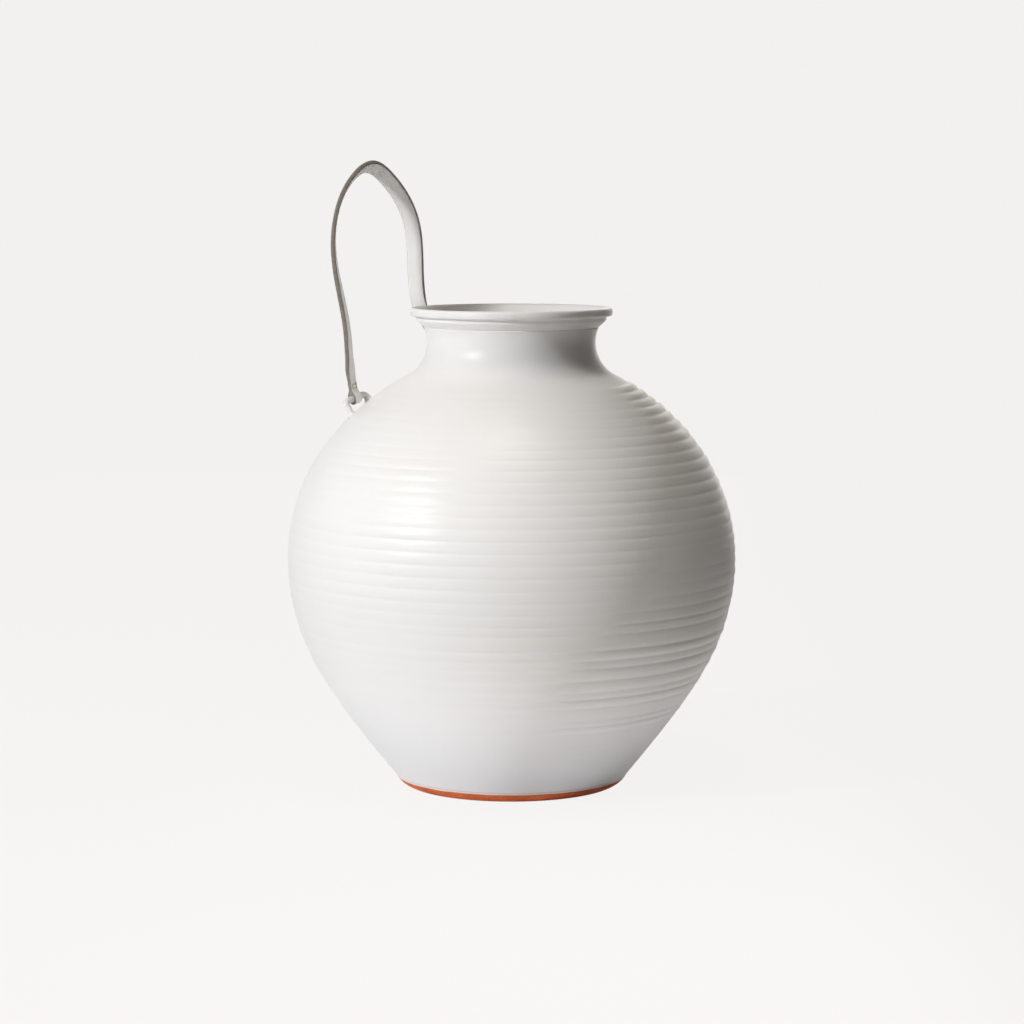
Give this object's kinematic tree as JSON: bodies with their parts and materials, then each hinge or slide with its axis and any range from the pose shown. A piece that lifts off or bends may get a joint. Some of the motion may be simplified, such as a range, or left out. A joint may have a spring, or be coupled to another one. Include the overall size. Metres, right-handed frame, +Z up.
{
  "type": "water jar",
  "caption": "Round thrown water jar with finger-ridged belly, smooth collar, rounded lip and bare clay foot, carried by a tall leather loop that swings on clay lugs.",
  "frame": {"origin": "centre of the foot's contact plane, on the jar's axis", "axes": "+Z up along the jar's axis, -Y towards the viewer of the picture, -X towards the handle's front lug"},
  "size_m": [0.3588, 0.3588, 0.4975],
  "materials": {
    "glaze": "satin white glaze",
    "bare_clay": "unglazed red earthenware",
    "leather": "pale vegetable-tanned leather with dark burnished edges",
    "thread": "waxed linen thread"
  },
  "bodies": {
    "jar": {"jar_body": "glaze", "neck_collar": "glaze", "foot_ring": "bare_clay", "front_lug": "glaze", "rear_lug": "glaze"},
    "handle": {"handle_strap": "leather", "front_stitches": "thread", "rear_stitches": "thread"}
  },
  "joints": [
    {"name": "handle_swing", "type": "hinge", "parent": "jar", "child": "handle", "pos_m": [-0.12461, 0, 0.30948], "axis": [0.6655, 0.707, 0.2392], "range_deg": [-120, 4]}
  ]
}
